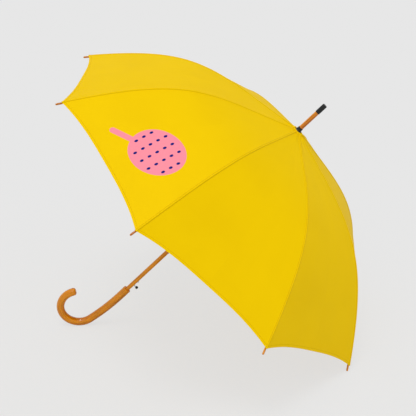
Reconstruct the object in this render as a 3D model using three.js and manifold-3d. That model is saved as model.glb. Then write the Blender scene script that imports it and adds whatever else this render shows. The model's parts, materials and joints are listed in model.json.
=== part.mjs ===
// A children's stick umbrella, open, lying on a floor on its crook and on two of its rib tips.
// Millimetres and degrees. The umbrella is drawn about its own axis: +Z runs along the shaft towards the
// ferrule, and z = 0 is the middle of the cloth at the crown. Each rib is drawn in the XZ plane and turned
// about Z into its place. The last lines lay the whole umbrella down on the floor.
import * as THREE from "three";
import { mergeVertices } from "three/addons/utils/BufferGeometryUtils.js";
import Module from "manifold-3d";

const wasm = await Module();
wasm.setup();

const DEG = Math.PI / 180;
const GAP = 0.3; // between pieces that touch
const RUNNING = 0.4; // between pieces that turn or slide on each other

// Canopy
const RIB_COUNT = 8;
const CANOPY_RADIUS = 432; // axis to a cloth corner
const CANOPY_DEPTH = 240; // crown to a cloth corner, along the shaft
const CROWN_FLAT_RADIUS = 14; // the gathered cloth is flat as far out as this
const CROWN_SLOPE = 13.5; // below horizontal
const CROWN_STIFFNESS = 201; // how far the crown's slope is held, as a handle of the profile curve
const CORNER_SLOPE = 51.8;
const CORNER_STIFFNESS = 259;
const HEM_SAG = 14; // how far the hem is cut in, along the cloth, half way between two ribs
const HEM_POWER = 3;
const CLOTH = 0.5;
const CLOTH_CUT = 0.5; // gap across the cloth where a rib bends

// Ribs and stretchers are channels of folded steel, open towards the shaft
const RIB_WIDTH = 3;
const RIB_HEIGHT = 3;
const RIB_WALL = 0.5;
const RIB_DROP = 2.6; // rib centre below the middle of the cloth
const RIB_START = 8; // along the cloth from the flat crown to the channel
const PLATE = 1.6; // flattened ends of ribs and stretchers
const NECK_HALF = 1.3;
const NECK_LENGTH = 14;
const EYE_RADIUS = 2.4;
const PIN_RADIUS = 0.6;
const EYE_HOLE = PIN_RADIUS + RUNNING;
const CLIP_ARC = 221.5; // along the cloth to the clip that carries the stretcher
const CLIP_DROP = 5; // stretcher pivot below the rib centre
const CLIP_WIDTH = 4.6;
const CLIP_LENGTH = 7;
const CLIP_EYE_RADIUS = 2;
const BEND_ARC = 228; // along the cloth to where a rib bends as the umbrella opens

// Wooden tips
const TIP_RADIUS = 2;
const TIP_INSIDE = 8; // under the cloth
const TIP_OUTSIDE = 12.5; // beyond the cloth corner
const TIP_BORE_DEPTH = 9;
const TIP_PIN_RADIUS = 1;

// Crown and runner hubs
const HINGE_RADIUS = 9; // both hubs carry their wire at this radius, so the linkage is symmetrical
const HINGE_DROP = 6; // crown hinges below the cloth
const HUB_RADIUS = 12;
const HUB_HALF_HEIGHT = 5;
const HUB_BORE_WALL = 1.2;
const WIRE_RADIUS = PIN_RADIUS;
const SLEEVE_LENGTH = 37;
const SLEEVE_RADIUS = 8;
const COLLAR_RADIUS = 9;
const COLLAR_HEIGHT = 3.5;

// Shaft, ferrule and crown cap
const SHAFT_RADIUS = 4.6;
const FERRULE_TIP = 79.5; // above the crown
const CAP_LENGTH = 22.5;
const CAP_RADIUS = 4.85;
const CAP_WALL = 0.7;
const CAP_END = 2;
const CAP_CHAMFER = 0.9;
const CROWN_CAP_RIM = 3; // width of the flange, round its bore
const CROWN_CAP_HEIGHT = 10.8;
const CROWN_CAP_FLANGE = 1.4;
const CROWN_CAP_WALL = 0.6; // at its upper end
const CROWN_CAP_HOLLOW = 0.6; // how far its flank is drawn in between flange and neck
const STOP_PIN_RADIUS = 1;
const STOP_PIN_LENGTH = 15;

// Crook handle
const HANDLE_TOP = 517.5; // below the crown
const HANDLE_RADIUS = 8.4;
const HANDLE_STRAIGHT = 22.5;
const HANDLE_LEAN = 11; // a slow bend of this many degrees comes before the hook
const HANDLE_LEAN_RADIUS = 470;
const HOOK_RADIUS = 40.3; // to the middle of the wood
const HOOK_SWEEP = 216; // the lean included
const HOOK_TURN = 190.6; // about the shaft
const SHAFT_IN_HANDLE = 30;

// Spring catches, set in slots of the shaft on the +X side
const CATCH_WIDTH = 2.2;
const CATCH_BACK = 2.4; // distance from the axis to the strip's back
const CATCH_THICKNESS = 1.2;
const CATCH_REACH = 6.4; // axis to the nose's end
const CATCH_NOSE = 8;
const CATCH_NOSE_LIP = 1.2;
const CATCH_ARM = 34; // from the root to the far end
const SLOT_WIDTH = CATCH_WIDTH + 2 * RUNNING;
const SLOT_FLOOR = -2.5; // the slots are cut past the axis, so the strips can be pressed in
const BUTTON_ABOVE_HANDLE = 17.2;
const BUTTON_RADIUS = 2.75;
const BUTTON_START = 9.5; // axis to the button's underside
const BUTTON_LENGTH = 5.1;
const STEM_HALF = 0.6;
const STEM_END = 12.6;
const BUTTON_BORE = 1.6;

const SHAFT_SIDES = 24;
const SMALL_SIDES = 8;
const ARC_STEPS = 3;
const INNER_STEPS = 6;
const OUTER_STEPS = 8;
const UNDERSIDE = 5; // of a box's six sides, the one that faces -Z

const clothYellow = new THREE.MeshStandardMaterial({ color: 0xf2cf12, roughness: 0.75, metalness: 0 });
const varnishedWood = new THREE.MeshStandardMaterial({ color: 0xc67a24, roughness: 0.35, metalness: 0 });
const blackPlastic = new THREE.MeshStandardMaterial({ color: 0x14161a, roughness: 0.3, metalness: 0 });
const zincSteel = new THREE.MeshStandardMaterial({ color: 0xb9bcc0, roughness: 0.35, metalness: 1 });

const HALF_GORE = Math.PI / RIB_COUNT;
const { lerp } = THREE.MathUtils;

// ---------------------------------------------------------------- solids

function toSolid(geometry) {
  const bare = geometry.index ? geometry.toNonIndexed() : geometry.clone();
  bare.deleteAttribute("normal");
  bare.deleteAttribute("uv");
  const merged = mergeVertices(bare, 1e-4);
  return new wasm.Manifold(
    new wasm.Mesh({
      numProp: 3,
      vertProperties: merged.attributes.position.array,
      triVerts: new Uint32Array(merged.index.array),
    }),
  );
}

function toGeometry(solid) {
  const { vertProperties, triVerts } = solid.getMesh();
  const geometry = new THREE.BufferGeometry();
  geometry.setAttribute("position", new THREE.BufferAttribute(vertProperties, 3));
  geometry.setIndex(new THREE.BufferAttribute(triVerts, 1));
  geometry.computeVertexNormals();
  return geometry;
}

const joined = (...geometries) => toGeometry(geometries.map(toSolid).reduce((a, b) => a.add(b)));

const cut = (geometry, ...tools) => toGeometry(tools.map(toSolid).reduce((a, b) => a.subtract(b), toSolid(geometry)));

// A box from one corner to the other.
function block(x0, x1, y0, y1, z0, z1) {
  const box = new THREE.BoxGeometry(x1 - x0, y1 - y0, z1 - z0);
  return box.translate((x0 + x1) / 2, (y0 + y1) / 2, (z0 + z1) / 2);
}

// A turned piece about Z. points are [radius, z] pairs, rising along the outside.
function turned(points, sides = SHAFT_SIDES) {
  const profile = points.map(([r, z]) => new THREE.Vector2(r, z));
  return new THREE.LatheGeometry(profile, sides).rotateX(Math.PI / 2);
}

// A cylinder about the direction "x", "y" or "z", from one coordinate to the other.
function rod(direction, radius, from, to, sides = SMALL_SIDES) {
  const cylinder = new THREE.CylinderGeometry(radius, radius, to - from, sides).translate(0, (from + to) / 2, 0);
  if (direction === "x") cylinder.rotateZ(-Math.PI / 2);
  if (direction === "z") cylinder.rotateX(Math.PI / 2);
  return cylinder;
}

// A flat plate in the XZ plane, its thickness along Y.
function plate(shape, thickness) {
  const options = { depth: thickness, bevelEnabled: false, curveSegments: ARC_STEPS };
  return new THREE.ExtrudeGeometry(shape, options).translate(0, 0, -thickness / 2).rotateX(Math.PI / 2);
}

// ---------------------------------------------------------------- profile of the open canopy

const slopeVector = (degrees) => new THREE.Vector2(Math.cos(degrees * DEG), -Math.sin(degrees * DEG));
const crownEdge = new THREE.Vector2(CROWN_FLAT_RADIUS, 0);
const corner = new THREE.Vector2(CANOPY_RADIUS, -CANOPY_DEPTH);
const profile = new THREE.CubicBezierCurve(
  crownEdge,
  crownEdge.clone().addScaledVector(slopeVector(CROWN_SLOPE), CROWN_STIFFNESS),
  corner.clone().addScaledVector(slopeVector(CORNER_SLOPE), -CORNER_STIFFNESS),
  corner,
);
profile.arcLengthDivisions = 400;
const CLOTH_LENGTH = profile.getLength(); // along a rib, from the flat crown to the corner

// Radius, height and direction of the cloth over a rib, s millimetres from the edge of the flat crown.
function profileAt(s) {
  if (s < 0) return { point: crownEdge.clone().setX(CROWN_FLAT_RADIUS + s), tangent: new THREE.Vector2(1, 0) };
  const u = Math.min(s / CLOTH_LENGTH, 1);
  const tangent = profile.getTangentAt(u);
  const beyond = Math.max(s - CLOTH_LENGTH, 0);
  return { point: profile.getPointAt(u).addScaledVector(tangent, beyond), tangent };
}

// A point in a rib's plane, s along the cloth and h above its middle.
function overRib(s, y, h) {
  const { point, tangent } = profileAt(s);
  return new THREE.Vector3(point.x - tangent.y * h, y, point.y + tangent.x * h);
}

// Bends a straight piece, drawn with x along the cloth and z above it, over its rib.
function bent(geometry) {
  const at = geometry.attributes.position;
  for (let i = 0; i < at.count; i++) {
    const p = overRib(at.getX(i), at.getY(i), at.getZ(i));
    at.setXYZ(i, p.x, p.y, p.z);
  }
  geometry.computeVertexNormals();
  return geometry;
}

// A point of the cloth. Between two ribs it is stretched straight, so each gore is a row of chords.
// across runs from -1 to 1: from one gore's centre line, over the rib at 0, to the next centre line.
function onCloth(s, across, h) {
  const { point, tangent } = profileAt(s);
  const reach = point.x * Math.sin(HALF_GORE) - GAP / 2;
  const side = Math.sign(across);
  const inward = Math.abs(across) * Math.sin(HALF_GORE);
  const sideways = across * Math.cos(HALF_GORE);
  const along = new THREE.Vector3(
    tangent.x * (1 - inward * Math.sin(HALF_GORE)),
    tangent.x * sideways * Math.sin(HALF_GORE),
    tangent.y,
  );
  const chord = new THREE.Vector3(-side * Math.sin(HALF_GORE), Math.cos(HALF_GORE), 0);
  const normal = along.cross(chord.setY(side ? chord.y : 1)).normalize();
  return new THREE.Vector3(point.x - reach * inward, reach * sideways, point.y).addScaledVector(normal, h);
}

// ---------------------------------------------------------------- linkage

const crownHinge = new THREE.Vector3(HINGE_RADIUS, 0, -HINGE_DROP);
const clipPivot = overRib(CLIP_ARC, 0, -RIB_DROP - CLIP_DROP);
const bendPivot = overRib(BEND_ARC, 0, 0);
// A stretcher is as long as the rib from its crown hinge to the clip: the runner then travels straight.
const STRETCHER_LENGTH = crownHinge.distanceTo(clipPivot);
const runnerHinge = new THREE.Vector3(HINGE_RADIUS, 0, 2 * clipPivot.z - crownHinge.z);
const RUNNER_TOP = runnerHinge.z + HUB_HALF_HEIGHT;
const RUNNER_BOTTOM = runnerHinge.z - HUB_HALF_HEIGHT - SLEEVE_LENGTH;

// ---------------------------------------------------------------- cloth

// Where the cloth of the inner and outer stretch of a rib meet: on the plane across the rib at its bend.
function bendArc(across) {
  const { tangent } = profileAt(BEND_ARC);
  const direction = new THREE.Vector3(tangent.x, 0, tangent.y);
  let [low, high] = [BEND_ARC, CLOTH_LENGTH];
  while (high - low > 1e-3) {
    const s = (low + high) / 2;
    const past = onCloth(s, across, 0).sub(bendPivot).dot(direction) > 0;
    if (past) high = s;
    else low = s;
  }
  return low;
}

const hemArc = (across) => CLOTH_LENGTH - HEM_SAG * (1 - (1 - Math.abs(across)) ** HEM_POWER);

// Splits the underside of a thin box along the same diagonals as its top. Two sides that are split
// the other way round would pass through each other where the cloth is twisted.
function alignDiagonals(box) {
  const corners = box.index.array;
  const { start, count } = box.groups[UNDERSIDE];
  for (let i = start; i < start + count; i += 6) {
    const [a, b, d, , c] = corners.slice(i, i + 6);
    corners.set([a, b, c, a, c, d], i);
  }
}

// A thin box laid over the canopy. arcAt(t, across) is the place along the cloth, for t from 0 to 1.
function clothPiece(arcAt, stepsAlong, stepsAcross) {
  const geometry = new THREE.BoxGeometry(1, 2, CLOTH, stepsAlong, stepsAcross, 1);
  const at = geometry.attributes.position;
  for (let i = 0; i < at.count; i++) {
    const across = at.getY(i);
    const p = onCloth(arcAt(at.getX(i) + 0.5, across), across, at.getZ(i));
    at.setXYZ(i, p.x, p.y, p.z);
  }
  alignDiagonals(geometry);
  geometry.computeVertexNormals();
  return geometry;
}

// The first step is the flat crown.
function innerArc(t, across) {
  const step = t * INNER_STEPS;
  const hole = SHAFT_RADIUS + 2 * GAP - CROWN_FLAT_RADIUS;
  if (step < 1) return lerp(hole, CLOTH, step);
  return lerp(CLOTH, bendArc(across) - CLOTH_CUT / 2, (step - 1) / (INNER_STEPS - 1));
}

const outerArc = (t, across) => lerp(bendArc(across) + CLOTH_CUT / 2, hemArc(across), t);

const innerCloth = clothPiece(innerArc, INNER_STEPS, 4);
const outerCloth = clothPiece(outerArc, OUTER_STEPS, 6);

// ---------------------------------------------------------------- ribs and stretchers

// A channel along +X, open downwards, its centre on the axis.
function channel(from, to, steps) {
  const [w, h] = [RIB_WIDTH / 2, RIB_HEIGHT / 2];
  const [wi, hi] = [w - RIB_WALL, h - RIB_WALL];
  const outline = [[-w, -h], [-wi, -h], [-wi, hi], [wi, hi], [wi, -h], [w, -h], [w, h], [-w, h]];
  const section = new THREE.Shape(outline.map(([y, z]) => new THREE.Vector2(y, z)));
  const bar = new THREE.ExtrudeGeometry(section, { depth: to - from, steps, bevelEnabled: false });
  // the section's x, y and depth become Y, Z and X
  const turn = new THREE.Matrix4().set(0, 0, 1, from, 1, 0, 0, 0, 0, 1, 0, 0, 0, 0, 0, 1);
  return bar.applyMatrix4(turn);
}

// The flattened end of a bar: an eye at the origin and a neck that reaches end, in the XZ plane.
function eyePlate(eyeRadius, end) {
  const neck = Math.asin(NECK_HALF / eyeRadius);
  const away = Math.atan2(end.z, end.x);
  const side = new THREE.Vector2(-Math.sin(away), Math.cos(away)).multiplyScalar(NECK_HALF);
  const shape = new THREE.Shape();
  shape.moveTo(end.x - side.x, end.z - side.y);
  shape.lineTo(end.x + side.x, end.z + side.y);
  shape.absarc(0, 0, eyeRadius, away + neck, away - neck + 2 * Math.PI, false);
  shape.holes.push(new THREE.Path().absarc(0, 0, EYE_HOLE, 0, 2 * Math.PI, true));
  return plate(shape, PLATE);
}

// The clip on a rib: two ears with the stretcher's pivot pin between them.
function clip() {
  const pivot = -RIB_DROP - CLIP_DROP;
  const half = CLIP_LENGTH / 2;
  const ears = new THREE.Shape();
  ears.moveTo(-half, RIB_HEIGHT / 4 - RIB_DROP);
  ears.lineTo(-half, pivot);
  ears.absarc(0, pivot, CLIP_EYE_RADIUS + RUNNING, Math.PI, 2 * Math.PI, false);
  ears.lineTo(half, pivot);
  ears.lineTo(half, RIB_HEIGHT / 4 - RIB_DROP);
  const slot = PLATE / 2 + RUNNING;
  const top = pivot + CLIP_EYE_RADIUS + RUNNING;
  const fork = cut(plate(ears, CLIP_WIDTH), block(-CLIP_LENGTH, CLIP_LENGTH, -slot, slot, pivot - CLIP_LENGTH, top));
  const pin = rod("y", PIN_RADIUS, -CLIP_WIDTH / 2 + GAP, CLIP_WIDTH / 2 - GAP).translate(0, 0, pivot);
  return joined(fork, pin).translate(CLIP_ARC, 0, 0);
}

function innerRib() {
  const hingeArc = HINGE_RADIUS - CROWN_FLAT_RADIUS;
  const neckEnd = new THREE.Vector3(RIB_START + 2 - hingeArc, 0, HINGE_DROP - RIB_DROP);
  const eye = eyePlate(EYE_RADIUS, neckEnd).translate(hingeArc, 0, -HINGE_DROP);
  const bar = channel(RIB_START, BEND_ARC - GAP / 2, INNER_STEPS).translate(0, 0, -RIB_DROP);
  return joined(bent(bar), bent(eye), bent(clip()));
}

function outerRib() {
  const end = CLOTH_LENGTH - TIP_INSIDE - GAP;
  const bar = channel(BEND_ARC + GAP / 2, end - 1, OUTER_STEPS);
  const plug = block(end - 4, end, -RIB_WIDTH / 2, RIB_WIDTH / 2, -RIB_HEIGHT / 2, RIB_HEIGHT / 2);
  const pin = rod("x", TIP_PIN_RADIUS, end - 1, end + TIP_BORE_DEPTH - GAP);
  return joined(...[bar, plug, pin].map((piece) => bent(piece.translate(0, 0, -RIB_DROP))));
}

// From the runner's hinge at the origin, along +X to the clip.
function stretcher() {
  const end = new THREE.Vector3(NECK_LENGTH, 0, 0);
  const clipEnd = eyePlate(CLIP_EYE_RADIUS, end).rotateY(Math.PI).translate(STRETCHER_LENGTH, 0, 0);
  const bar = channel(NECK_LENGTH - 2, STRETCHER_LENGTH - NECK_LENGTH + 4, 1);
  return joined(eyePlate(EYE_RADIUS, end), bar, clipEnd);
}

// A turned wooden tip with a blind bore for the rib's end, drawn along the cloth.
function tip() {
  const length = TIP_INSIDE + TIP_OUTSIDE;
  const bore = TIP_PIN_RADIUS + GAP;
  const shape = [
    [0, TIP_BORE_DEPTH],
    [bore, TIP_BORE_DEPTH],
    [bore, 0],
    [TIP_RADIUS - 0.3, 0],
    [TIP_RADIUS, TIP_INSIDE],
    [TIP_RADIUS, length - TIP_RADIUS],
    [TIP_RADIUS * 0.7, length - TIP_RADIUS * 0.3],
    [0, length],
  ];
  const wood = turned(shape, SMALL_SIDES).rotateY(Math.PI / 2);
  return bent(wood.translate(CLOTH_LENGTH - TIP_INSIDE, 0, -RIB_DROP));
}

// ---------------------------------------------------------------- hubs

const wireRing = (radius) => new THREE.TorusGeometry(HINGE_RADIUS, radius, 6, 24);

// Slots for the rib or stretcher eyes, and the wire's tunnel. open is 1 when the eyes swing upwards.
function hubCuts(open) {
  const width = PLATE / 2 + RUNNING;
  const back = HINGE_RADIUS - EYE_RADIUS - RUNNING;
  const [deep, free] = [-EYE_RADIUS - RUNNING, HUB_HALF_HEIGHT + 2];
  const slots = Array.from({ length: RIB_COUNT }, (_, i) =>
    block(back, HUB_RADIUS + 2, -width, width, ...(open > 0 ? [deep, free] : [-free, -deep])).rotateZ(ribAngle(i)),
  );
  return [...slots, wireRing(WIRE_RADIUS + GAP)];
}

const ribAngle = (i) => (2 * i + 1) * HALF_GORE;

function crownNotch() {
  const bore = SHAFT_RADIUS + GAP;
  const top = HINGE_DROP - CLOTH / 2 - GAP;
  const ring = turned([[bore, -HUB_HALF_HEIGHT], [HUB_RADIUS, -HUB_HALF_HEIGHT], [HUB_RADIUS, top], [bore, top],
    [bore, -HUB_HALF_HEIGHT]]);
  return cut(ring, ...hubCuts(-1));
}

function runner() {
  const bore = SHAFT_RADIUS + RUNNING;
  const bottom = -HUB_HALF_HEIGHT - SLEEVE_LENGTH;
  const body = turned([
    [bore, bottom],
    [COLLAR_RADIUS, bottom],
    [COLLAR_RADIUS, bottom + COLLAR_HEIGHT],
    [SLEEVE_RADIUS, bottom + COLLAR_HEIGHT + 1],
    [SLEEVE_RADIUS, -HUB_HALF_HEIGHT],
    [HUB_RADIUS, -HUB_HALF_HEIGHT],
    [HUB_RADIUS, HUB_HALF_HEIGHT],
    [bore, HUB_HALF_HEIGHT],
    [bore, bottom],
  ]);
  const half = CATCH_WIDTH / 2 + GAP;
  const keyway = block(0, CATCH_REACH + RUNNING, -half, half, bottom + COLLAR_HEIGHT, HUB_HALF_HEIGHT + 1);
  return cut(body, ...hubCuts(1), keyway);
}

// ---------------------------------------------------------------- shaft and what is fixed to it

// The runner's keyway passes over the catches, and ends in a sill that the lower catch holds.
const BUTTON_Z = BUTTON_ABOVE_HANDLE - HANDLE_TOP;
const LOWER_ROOT = BUTTON_Z + CATCH_ARM;
// The upper catch stands just under the open runner.
const UPPER_TOP = RUNNER_BOTTOM - GAP;
const UPPER_ROOT = UPPER_TOP - CATCH_ARM;
const LOWER_NOSE_FACE = BUTTON_Z + 11; // where the lower catch meets the closed runner's sill

function shaft() {
  const capSeat = FERRULE_TIP - CAP_LENGTH - GAP;
  const spigot = CAP_RADIUS - CAP_WALL - GAP;
  const wood = turned([
    [0, -HANDLE_TOP - SHAFT_IN_HANDLE],
    [SHAFT_RADIUS, -HANDLE_TOP - SHAFT_IN_HANDLE],
    [SHAFT_RADIUS, capSeat],
    [spigot, capSeat],
    [spigot, FERRULE_TIP - CAP_END - GAP],
    [0, FERRULE_TIP - CAP_END - GAP],
  ]);
  const slot = (from, to) => block(SLOT_FLOOR, SHAFT_RADIUS + 1, -SLOT_WIDTH / 2, SLOT_WIDTH / 2, from, to);
  const lowerSlot = slot(BUTTON_Z - STEM_HALF - RUNNING, LOWER_ROOT + RUNNING);
  const upperSlot = slot(UPPER_ROOT - RUNNING, UPPER_TOP + RUNNING);
  const pinHole = rod("y", STOP_PIN_RADIUS + GAP, -SHAFT_RADIUS - 1, SHAFT_RADIUS + 1).translate(0, 0, stopPinHeight());
  return cut(wood, lowerSlot, upperSlot, pinHole);
}

const stopPinHeight = () => RUNNER_TOP + GAP + STOP_PIN_RADIUS;

const stopPin = () =>
  rod("y", STOP_PIN_RADIUS, -STOP_PIN_LENGTH / 2, STOP_PIN_LENGTH / 2).translate(0, 0, stopPinHeight());

function ferruleCap() {
  const base = FERRULE_TIP - CAP_LENGTH;
  const bore = CAP_RADIUS - CAP_WALL;
  return turned([
    [0, FERRULE_TIP - CAP_END],
    [bore, FERRULE_TIP - CAP_END],
    [bore, base],
    [CAP_RADIUS, base],
    [CAP_RADIUS, FERRULE_TIP - CAP_CHAMFER],
    [CAP_RADIUS - CAP_CHAMFER, FERRULE_TIP],
    [0, FERRULE_TIP],
  ]);
}

function crownCap() {
  const bore = SHAFT_RADIUS + GAP;
  const base = CLOTH / 2 + GAP;
  const [rim, neck] = [bore + CROWN_CAP_RIM, bore + CROWN_CAP_WALL];
  const shoulder = (rim + neck) / 2 - CROWN_CAP_HOLLOW;
  return turned([
    [bore, base],
    [rim, base],
    [rim, base + CROWN_CAP_FLANGE],
    [shoulder, base + CROWN_CAP_HEIGHT * 0.4],
    [neck, CROWN_CAP_HEIGHT - 1],
    [neck, CROWN_CAP_HEIGHT],
    [bore, CROWN_CAP_HEIGHT],
    [bore, base],
  ]);
}

// A strip of spring steel. nose is its flat face, and slope is the side that the runner slides over.
function catchStrip(root, far, nose, slope, outline = []) {
  const front = CATCH_BACK + CATCH_THICKNESS;
  const points = [
    [CATCH_BACK, root],
    [CATCH_BACK, far],
    ...outline,
    [front, nose],
    [CATCH_REACH, nose],
    [CATCH_REACH, nose + Math.sign(slope) * CATCH_NOSE_LIP],
    [front, nose + slope],
    [front, root],
  ];
  return plate(new THREE.Shape(points.map(([x, z]) => new THREE.Vector2(x, z))), CATCH_WIDTH);
}

function lowerCatch() {
  const front = CATCH_BACK + CATCH_THICKNESS;
  const [under, over] = [BUTTON_Z - STEM_HALF, BUTTON_Z + STEM_HALF];
  const stem = [[STEM_END, under], [STEM_END, over], [front, over]];
  return catchStrip(LOWER_ROOT, under, LOWER_NOSE_FACE, CATCH_NOSE, stem);
}

const upperCatch = () =>
  catchStrip(UPPER_ROOT, UPPER_TOP, UPPER_TOP, -CATCH_NOSE);

// The button, turned about +X.
function buttonHead() {
  const end = BUTTON_START + BUTTON_LENGTH;
  const shape = [
    [0, STEM_END + GAP],
    [BUTTON_BORE, STEM_END + GAP],
    [BUTTON_BORE, BUTTON_START],
    [BUTTON_RADIUS - 0.4, BUTTON_START],
    [BUTTON_RADIUS, BUTTON_START + 0.5],
    [BUTTON_RADIUS, end - 1],
    [BUTTON_RADIUS - 1, end],
    [0, end],
  ];
  return turned(shape, 16).rotateY(Math.PI / 2).translate(0, 0, BUTTON_Z);
}

// ---------------------------------------------------------------- crook handle

// The handle's centre line in the XZ plane: straight, a slow bend, then the hook.
function crookPoints() {
  const at = new THREE.Vector3(0, 0, -HANDLE_TOP);
  const points = [at.clone()];
  const go = (length, heading) => {
    at.x += length * Math.sin(heading);
    at.z -= length * Math.cos(heading);
    points.push(at.clone());
  };
  go(HANDLE_STRAIGHT, 0);
  const bends = [[HANDLE_LEAN, HANDLE_LEAN_RADIUS, 4], [HOOK_SWEEP - HANDLE_LEAN, HOOK_RADIUS, 26]];
  let heading = 0;
  for (const [sweep, radius, steps] of bends) {
    const turn = (sweep * DEG) / steps;
    for (let i = 0; i < steps; i++) {
      go(2 * radius * Math.sin(turn / 2), heading + turn / 2);
      heading += turn;
    }
  }
  return points;
}

function handle() {
  const circle = new THREE.Shape().absarc(0, 0, HANDLE_RADIUS, 0, 2 * Math.PI);
  const path = new THREE.CatmullRomCurve3(crookPoints());
  const wood = new THREE.ExtrudeGeometry(circle, { extrudePath: path, steps: 36, curveSegments: 9 });
  const bore = rod("z", SHAFT_RADIUS + GAP, -HANDLE_TOP - SHAFT_IN_HANDLE - GAP, 5 - HANDLE_TOP, SHAFT_SIDES);
  return cut(wood, bore).rotateZ(HOOK_TURN * DEG);
}

// ---------------------------------------------------------------- assembly

const umbrella = new THREE.Group();

function add(group, name, geometry, material) {
  const mesh = new THREE.Mesh(geometry, material);
  mesh.name = name;
  group.add(mesh);
  return mesh;
}

// An empty marker where a joint's axis passes. The ribs' axes run along their group's Y.
function addPivot(group, name, position) {
  const marker = new THREE.Object3D();
  marker.name = name;
  marker.position.copy(position);
  group.add(marker);
}

add(umbrella, "shaft", shaft(), varnishedWood);
add(umbrella, "handle", handle(), varnishedWood);
add(umbrella, "ferrule_cap", ferruleCap(), blackPlastic);
add(umbrella, "crown_cap", crownCap(), blackPlastic);
add(umbrella, "crown_notch", crownNotch(), blackPlastic).position.z = -HINGE_DROP;
add(umbrella, "crown_wire", wireRing(WIRE_RADIUS), zincSteel).position.z = -HINGE_DROP;
add(umbrella, "runner", runner(), blackPlastic).position.z = runnerHinge.z;
add(umbrella, "runner_wire", wireRing(WIRE_RADIUS), zincSteel).position.z = runnerHinge.z;
add(umbrella, "runner_stop_pin", stopPin(), zincSteel);
add(umbrella, "upper_catch", upperCatch(), zincSteel);
add(umbrella, "lower_catch", lowerCatch(), zincSteel);
add(umbrella, "release_button", buttonHead(), blackPlastic);
addPivot(umbrella, "lower_catch_pivot", new THREE.Vector3(CATCH_BACK, 0, LOWER_ROOT - 2));
addPivot(umbrella, "upper_catch_pivot", new THREE.Vector3(CATCH_BACK, 0, UPPER_ROOT + 2));

const ribPieces = [
  ["rib_inner", innerRib(), zincSteel],
  ["rib_outer", outerRib(), zincSteel],
  ["tip", tip(), varnishedWood],
  ["canopy_inner", innerCloth, clothYellow],
  ["canopy_outer", outerCloth, clothYellow],
];
const stretcherGeometry = stretcher();
const stretcherRise = Math.asin((clipPivot.z - runnerHinge.z) / STRETCHER_LENGTH);

for (let i = 0; i < RIB_COUNT; i++) {
  const arm = new THREE.Group();
  arm.rotation.z = ribAngle(i);
  umbrella.add(arm);
  for (const [name, geometry, material] of ribPieces) add(arm, `${name}_${i + 1}`, geometry, material);
  const strut = add(arm, `stretcher_${i + 1}`, stretcherGeometry, zincSteel);
  strut.position.copy(runnerHinge);
  strut.rotation.y = -stretcherRise;
  addPivot(arm, `crown_hinge_${i + 1}`, crownHinge);
  addPivot(arm, `clip_pivot_${i + 1}`, clipPivot);
  addPivot(arm, `bend_pivot_${i + 1}`, bendPivot);
  addPivot(arm, `runner_hinge_${i + 1}`, runnerHinge);
}

// The umbrella lies on its two lowest tips, one rib spacing apart about +X, and on its crook.
function restingSlope() {
  const end = overRib(CLOTH_LENGTH + TIP_OUTSIDE - TIP_RADIUS, 0, -RIB_DROP);
  const crook = crookPoints().map((p) => [p.x * Math.cos(HOOK_TURN * DEG), p.z]);
  const height = ([x, z], slope) => z * Math.sin(slope) - x * Math.cos(slope);
  let [low, high] = [20 * DEG, 70 * DEG];
  while (high - low > 1e-6) {
    const slope = (low + high) / 2;
    const tips = height([end.x * Math.cos(HALF_GORE), end.z], slope) - TIP_RADIUS;
    const hook = Math.min(...crook.map((p) => height(p, slope))) - HANDLE_RADIUS;
    if (tips > hook) high = slope;
    else low = slope;
  }
  return low;
}

umbrella.rotation.y = Math.PI / 2 - restingSlope();

// The origin is on the floor, under the middle of the umbrella's box.
const assembly = new THREE.Group();
assembly.add(umbrella);
assembly.updateMatrixWorld(true);
const bounds = new THREE.Box3().setFromObject(assembly, true);
const middle = bounds.getCenter(new THREE.Vector3());
umbrella.position.set(-middle.x, -middle.y, -bounds.min.z);

export default assembly;
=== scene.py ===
import json
import math

import bmesh
import bpy
import numpy as np
from mathutils import Matrix, Vector, noise

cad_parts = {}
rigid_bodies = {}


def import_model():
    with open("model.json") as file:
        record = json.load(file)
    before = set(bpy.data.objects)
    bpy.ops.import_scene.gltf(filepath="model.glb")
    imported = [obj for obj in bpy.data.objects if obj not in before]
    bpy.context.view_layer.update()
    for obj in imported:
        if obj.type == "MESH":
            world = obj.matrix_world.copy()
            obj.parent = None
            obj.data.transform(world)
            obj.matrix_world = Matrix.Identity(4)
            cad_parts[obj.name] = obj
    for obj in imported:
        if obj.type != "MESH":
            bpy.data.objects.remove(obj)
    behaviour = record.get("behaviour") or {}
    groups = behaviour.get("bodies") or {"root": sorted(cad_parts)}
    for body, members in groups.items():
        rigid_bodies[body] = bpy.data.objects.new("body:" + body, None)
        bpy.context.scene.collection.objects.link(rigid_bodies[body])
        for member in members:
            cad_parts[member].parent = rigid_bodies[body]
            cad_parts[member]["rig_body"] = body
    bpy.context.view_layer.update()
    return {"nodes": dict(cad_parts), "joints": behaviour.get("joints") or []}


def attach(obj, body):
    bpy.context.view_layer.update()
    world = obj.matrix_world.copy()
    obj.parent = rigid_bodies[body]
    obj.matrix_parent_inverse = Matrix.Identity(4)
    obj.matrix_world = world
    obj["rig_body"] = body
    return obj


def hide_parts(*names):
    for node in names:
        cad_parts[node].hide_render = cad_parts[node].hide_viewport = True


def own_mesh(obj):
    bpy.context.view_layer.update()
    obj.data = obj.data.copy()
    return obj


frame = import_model()
scene = bpy.context.scene
mm = 0.001
ribNumbers = range(1, 9)
goreAngle = 45  # degrees between two ribs
halfGore = math.pi / len(ribNumbers)

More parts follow.
